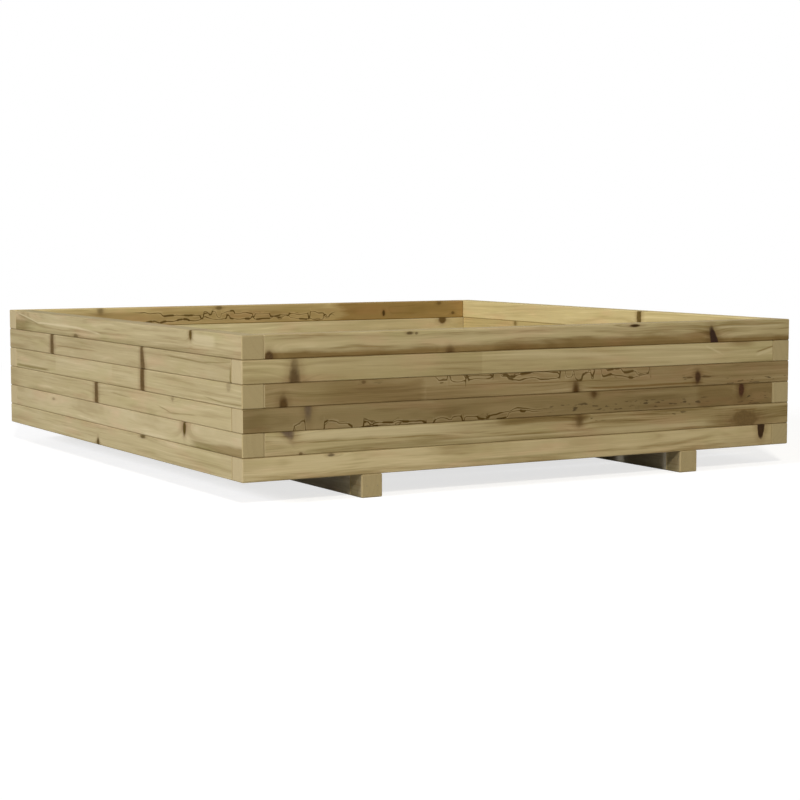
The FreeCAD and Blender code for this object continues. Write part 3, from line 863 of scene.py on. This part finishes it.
LEFT[2] = look(
    seed=15, pith=(0.003, 75, 30), spacing=10, contrast=0.5, tone=(0.5, 0.414, 0.23), heart=OLIVE,
    knots=[
        knot(255, 10, 9, 3, 0.3),
        knot(879, 11, 7, 14),
    ],
    brown=[stain(-30, 170, -5, 45, 0.16, soft=(60, 60, 6))],
    olive=[
        stain(905, 1140, 28, 45, 0.8, slope=0.03, soft=(30, 30, 3.5)),
        stain(905, 1010, 33, 45, soft=(40, 40, 2.5)),
    ],
)
LEFT[1] = look(
    seed=16, pith=(0.002, 60, 60), spacing=11, contrast=0.5, heart=OLIVE,
    knots=[
        knot(487, 33, 7, 10, taper=-0.4, heart=(0.093, 0.06, 0.014)),
        knot(700, 3, 12, 3.6, 0.8),
    ],
)

BACK[6] = look(
    seed=21, pith=(0.004, -30, 18), spacing=8, contrast=0.6, tone=(0.7, 0.56, 0.262),
    heart=(0.09, 0.052, 0.012),
    knots=[
        knot(919, 4, 8, 10, 0.45, depth=38, reach_d=20, blur=0.8),
        knot(103, 4, 7, 6, 0.45, depth=38, reach_d=16, blur=0.8),
        knot(652, 4, 8, 5, 0.5, depth=38, reach_d=16),
        knot(248, 24, 3.4, 7, depth=38, reach_d=10, blur=0.3),
        knot(66, 27, 5, 4, 0.6, depth=38, reach_d=10),
    ],
    brown=[
        stain(-10, 1110, 9, 46, 0.62),
        stain(-10, 360, -5, 46, 1),
        stain(180, 360, -5, 46, 1.25),
        stain(390, 820, -5, 46, 0.5),
    ],
    zones=[
        zone(
            376, 838, 5, 38, strength=0.9, soft=(8, 20, 2),
            bold=[
                (436, 2), (486, 3), (513, 5), (528, 3), (620, 4), (670, 3), (692, 3), (722, 8), (767, 10),
            ],
            line=[
                (374, 20), (380, 22), (386, 27), (392, 30), (398, 24), (403, 19), (410, 19), (424, 16),
                (433, 20), (436, 29), (439, 20), (470, 20), (484, 21), (488, 24), (510, 23.5), (520, 23.5),
                (528, 23), (532, 18), (540, 17), (565, 17.5), (570, 24), (574, 17.5), (600, 17), (613, 17),
                (620, 13), (638, 14), (647, 16), (649, 25), (654, 24), (658, 16), (663, 11), (668, 14),
                (672, 19), (678, 14), (687, 15), (690, 25), (694, 24), (698, 17.5), (712, 17), (748, 17),
                (755, 19.5), (777, 19), (785, 16), (800, 14.5), (810, 16), (825, 13), (838, 13),
            ],
        ),
        zone(
            376, 838, 5, 38, strength=0.9, soft=(8, 20, 2),
            bold=[
                (450, 8), (508, 2), (547, 15), (585, 4), (622, 3), (633, 3), (727, 6), (742, 5), (780, 5),
                (812, 5),
            ],
            line=[
                (374, 26), (378, 24), (384, 27), (390, 30), (396, 24), (400, 28), (403, 33), (415, 33),
                (428, 32), (435, 30), (439, 31), (455, 32), (470, 29), (482, 27), (488, 24), (494, 25),
                (500, 28), (508, 29), (513, 26), (520, 24), (525, 25), (530, 28), (567, 28), (572, 24),
                (577, 27), (585, 28), (600, 27.5), (613, 26), (626, 23), (631, 19), (635, 24), (642, 27),
                (650, 28), (660, 29), (670, 27), (680, 24), (686, 22), (692, 26), (700, 28), (718, 28.5),
                (728, 26), (740, 27), (748, 29.5), (755, 31), (770, 32), (785, 33), (800, 31), (815, 30.5),
                (825, 29), (838, 28.5),
            ],
        ),
    ],
)
BACK[5] = look(
    seed=22, contrast=0.5, tone=(0.77, 0.675, 0.385),
    knots=[knot(94, 5, 11, 10, 0.9, depth=38, reach_d=18, blur=0.4, heart=(0.12, 0.068, 0.014))],
    brown=[
        stain(-10, 430, -5, 46, 0.36, soft=(45, 160, 6)),
        stain(-10, 110, -5, 46, 0.5, soft=(45, 60, 6)),
    ],
)
BACK[4] = look(
    seed=23, pith=(0.01, -50, 8), spacing=8, contrast=0.85,
    knots=[
        knot(430, 21, 8, 10),
        knot(880, 10, 5, 6),
    ],
)
BACK[3] = look(
    seed=24, contrast=0.75,
    knots=[
        knot(210, 28, 7, 9),
        knot(745, 18, 8, 30, reach_d=14),
    ],
    brown=[stain(420, 900, 12, 46, 0.6)],
)
BACK[2] = look(
    seed=25, pith=(-0.006, 70, 50), spacing=9, contrast=0.75,
    knots=[knot(590, 9, 6, 7)],
    brown=[stain(120, 480, 10, 46, 0.5)],
    zones=[zone(150, 420, 14, 40, line=28.0, hold=50.0)],
)
BACK[1] = look(seed=26, contrast=0.85, knots=[knot(335, 25, 7, 10), knot(1010, 12, 6, 9, taper=0.4)])

RIGHT[6] = look(
    seed=31, pith=(0.03, 70, 10), spacing=12, contrast=0.55, tone=(0.69, 0.565, 0.265),
    knots=[knot(400, 12, 8, 26, depth=38, reach_d=22, blur=0.3, heart=(0.155, 0.102, 0.026), swirl=0.4)],
)
RIGHT[5] = look(
    seed=32, pith=(0.02, 66, -8), spacing=10, contrast=0.55, tone=(0.53, 0.412, 0.168),
    knots=[
        knot(846, 5, 6, 6, 0.8, depth=38, reach_d=18, heart=(0.2, 0.14, 0.04)),
        knot(240, 20, 8, 30, reach_d=12),
    ],
)
RIGHT[4] = look(seed=33, contrast=0.85, knots=[knot(560, 26, 8, 9)], brown=[stain(300, 800, 20, 46, 0.6)])
RIGHT[3] = look(
    seed=34, pith=(0.004, -44, 20), spacing=8, contrast=0.75,
    knots=[
        knot(330, 8, 6, 7),
        knot(905, 22, 7, 10),
    ],
)
RIGHT[2] = look(
    seed=35, contrast=0.85,
    knots=[knot(690, 19, 8, 32, reach_d=14)],
    specks=[stain(100, 400, 14, 28)],
)
RIGHT[1] = look(
    seed=36, pith=(-0.005, 64, 56), spacing=9, contrast=0.75,
    knots=[
        knot(170, 30, 7, 8),
        knot(980, 10, 5, 6),
    ],
)

# One row for each wall: its looks, the signs of its starting corner along X and Y, and its turn in degrees
WALLS = {
    "front": (FRONT, (-1, -1), 0),
    "right": (RIGHT, (1, -1), 90),
    "back": (BACK, (1, 1), 180),
    "left": (LEFT, (-1, 1), 270),
}
FRONT_SEAM_REACH = 1.55     # from the middle of a seam to the end of its painted shade
SIDE_SEAM_REACH = 1.3


def dress(node, material):
    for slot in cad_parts[node].material_slots:
        slot.material = material


def seams_of(wall, course):
    """A batten's seams as (axis, place): upright where it meets the next wall, and above and below it. The
    front wall's even courses show no upright one in the photograph."""
    starts_at_corner = course % 2 == 1
    seams = []
    if starts_at_corner or wall != "front":
        seams.append((0, LENGTH - SECTION if starts_at_corner else SECTION))
    if course > 1:
        seams.append((2, 0))
    if course < COURSES:
        seams.append((2, SECTION))
    return seams


def dress_wall(wall):
    looks, signs, turn = WALLS[wall]
    reach = FRONT_SEAM_REACH if wall == "front" else SIDE_SEAM_REACH
    cut = SIDE_CUT if wall in ("front", "back") else FRONT_CUT
    for course, shown in looks.items():
        name = f"{wall}_batten_{course}"
        origin = (*(sign * LENGTH / 2 / MM for sign in signs), course * SECTION / MM)
        shown["wood"].setdefault("cut", cut)
        seams = seams_of(wall, course)
        dress(name, timber_material(name + "_wood", origin, turn, shown, SECTION, seams, reach))


def dress_along_y(node, shown):
    """Dresses a foot block or a bearer, whose outer face is its right one."""
    low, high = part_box(node)
    dress(node, timber_material(node + "_wood", (high.x, low.y, 0), 90, shown))


SLATS = 8


def scattered(k, step, span, start=0):
    """A place that jumps about from one slat to the next."""
    return k * step % span + start


def slat_look(k):
    """A look for a floor slat. Its knots go through, so they show on both faces."""
    third = k % 3
    start = scattered(k, 211, 600)
    return look(
        seed=60 + k, pith=(0.02 * (third - 1), 57 + 9 * (third - 1), -60), spacing=7, warp=26, contrast=0.85,
        knots=[
            knot(scattered(k, 377, 900, 60), 8, 9, 40, depth=scattered(k, 29, 60, 30), reach_d=11),
            knot(scattered(k, 613, 900, 80), 8, 6, 40, 0.8, depth=scattered(k, 47, 75, 20), reach_d=7),
        ],
        brown=[stain(start, start + 420, -40, 60, 0.3 + 0.1 * third)],
    )


for wall in WALLS:
    dress_wall(wall)

# Feet: short blocks in the walls' planes and the long bearers between them
FOOT_BLOCKS = [f"{end}_{side}_foot_block" for end in ("front", "back") for side in ("left", "right")]
for k, node in enumerate(FOOT_BLOCKS):
    # The blocks' darker tone is painted shade: it stands in for the shade under the planter.
    tone = (0.36, 0.298, 0.165)
    dress_along_y(node, look(seed=41 + k, pith=(0, 70, 30), spacing=6, warp=8, contrast=0.6, tone=tone))
for k, node in enumerate(("left_bearer", "right_bearer")):
    knots = [knot(300 + 210 * k, 14, 8, 12), knot(790 - 160 * k, 24, 6, 8)]
    # The bearers' greyer tone is partly painted shade: it stands in for the grey light in the shade under the
    # planter.
    tone = (0.53, 0.475, 0.35)
    shown = look(seed=51 + k, knots=knots, pith=(0.004, 60, 10), spacing=7, contrast=0.75, tone=tone)
    dress_along_y(node, shown)

for k in range(1, SLATS + 1):
    node = f"floor_slat_{k}"
    low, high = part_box(node)
    thickness = round((high.z - low.z) * MM)
    dress(node, timber_material(node + "_wood", tuple(low), 0, slat_look(k), thickness))


def steel(name, tint, roughness, metal):
    """Zinc plated steel: dull, slightly clouded metal. Its noises' scales are in cycles per metre."""
    material = bpy.data.materials.new(name)
    material.use_nodes = True
    n = Net(material.node_tree)
    coords = n.node("ShaderNodeTexCoord").outputs["Object"]
    cloud = n.noise(coords, (900, 900, 900), 3.0, 0.6)
    scratch = n.noise(coords, (240, 240, 2600), 2.0, 0.5)
    colour = n.mix(n.ramp(cloud, 0.3, 0.72), tuple(0.72 * part for part in tint), tint)
    rough = n.math("MULTIPLY_ADD", scratch, 0.25, roughness)
    bump = n.shader("ShaderNodeBump", Strength=0.25, Distance=0.0001, Height=scratch)
    surface = n.shader(
        "ShaderNodeBsdfPrincipled", Base_Color=colour, Roughness=rough, Normal=bump, Metallic=metal
    )
    n.node("ShaderNodeOutputMaterial", Surface=surface)
    return material


bright = steel("zinc_bright", (0.62, 0.63, 0.64), 0.3, 1.0)
for node in ("foot_screws", "corner_brads", "wall_brads", "slat_brads"):
    dress(node, bright)
dress("foot_brads", steel("zinc_dull", (0.4, 0.33, 0.19), 0.6, 0.2))

# Light: a lamp in front, a little to the left, a broader low one on the left, and a weak one on the right
LAMP_TARGET = Vector((0, 0, 0.13))
LAMP_DISTANCE = 9.0


def lamp(name, aim, size, energy, colour):
    """A round lamp that lies from the target in the direction of aim."""
    data = bpy.data.lights.new(name, "AREA")
    data.shape = "DISK"
    data.size = size
    data.energy = energy
    data.color = colour
    made = bpy.data.objects.new(name, data)
    scene.collection.objects.link(made)
    aim = Vector(aim).normalized()
    made.location = LAMP_TARGET + LAMP_DISTANCE * aim
    made.rotation_euler = aim.to_track_quat("Z", "Y").to_euler()


lamp("front_lamp", (-0.46, -1.0, 0.76), 1.0, 362, (1.0, 0.96, 0.875))
lamp("left_lamp", (-1.0, -0.12, 0.4), 2.2, 452, (0.98, 1.0, 1.1))
lamp("fill_lamp", (1.0, 0.5, 0.15), 3.0, 230, (1.0, 0.98, 0.95))

WHITE = (1.0, 1.0, 1.0)
ROOM_COLOUR = (1.0, 0.98, 0.96)
ROOM_LIGHT = 0.21


def seen_directly(n):
    """1 for rays from the camera and for those seen in gloss or through glass."""
    path = n.node("ShaderNodeLightPath").outputs
    return n.largest([path[f"Is {kind} Ray"] for kind in ("Camera", "Glossy", "Transmission")])


def add_world():
    """A white room that gives a weaker light."""
    world = bpy.data.worlds.new("room")
    scene.world = world
    world.use_nodes = True
    n = Net(world.node_tree)
    light = n.shader("ShaderNodeBackground", Color=ROOM_COLOUR, Strength=ROOM_LIGHT)
    white = n.shader("ShaderNodeBackground", Color=WHITE, Strength=1.0)
    n.node("ShaderNodeOutputWorld", Surface=n.blend(seen_directly(n), light, white))


add_world()

# Floor: pale, keeps the shadow, and goes over into the white room further out. In metres.
FLOOR_REACH = 30.0
FLOOR_FADE = (1.2, 2.6)
FLOOR_COLOUR = (0.56, 0.56, 0.56)     # to the light that bounces
FLOOR_SHOWN = (0.5, 0.5, 0.5)         # to the camera, where it glows a little as well
FLOOR_GLOW = 0.72


def floor_material():
    material = bpy.data.materials.new("floor")
    material.use_nodes = True
    n = Net(material.node_tree)
    away = n.vector("LENGTH", n.node("ShaderNodeTexCoord").outputs["Object"])
    plain = n.shader("ShaderNodeBsdfDiffuse", Color=FLOOR_COLOUR)
    shown = n.shader("ShaderNodeBsdfDiffuse", Color=FLOOR_SHOWN)
    glow = n.shader("ShaderNodeEmission", Color=WHITE, Strength=FLOOR_GLOW)
    lit = n.node("ShaderNodeAddShader")
    n.put_all((shown, glow), lit.inputs)
    white = n.shader("ShaderNodeEmission", Color=WHITE, Strength=1.0)
    faded = n.blend(n.ramp(away, *FLOOR_FADE), lit.outputs[0], white)
    n.node("ShaderNodeOutputMaterial", Surface=n.blend(seen_directly(n), plain, faded))
    return material


corners = [(x * FLOOR_REACH, y * FLOOR_REACH, 0) for x, y in ((-1, -1), (1, -1), (1, 1), (-1, 1))]
mesh = bpy.data.meshes.new("floor")
mesh.from_pydata(corners, [], [(0, 1, 2, 3)])
mesh.materials.append(floor_material())
floor = bpy.data.objects.new("floor", mesh)
scene.collection.objects.link(floor)
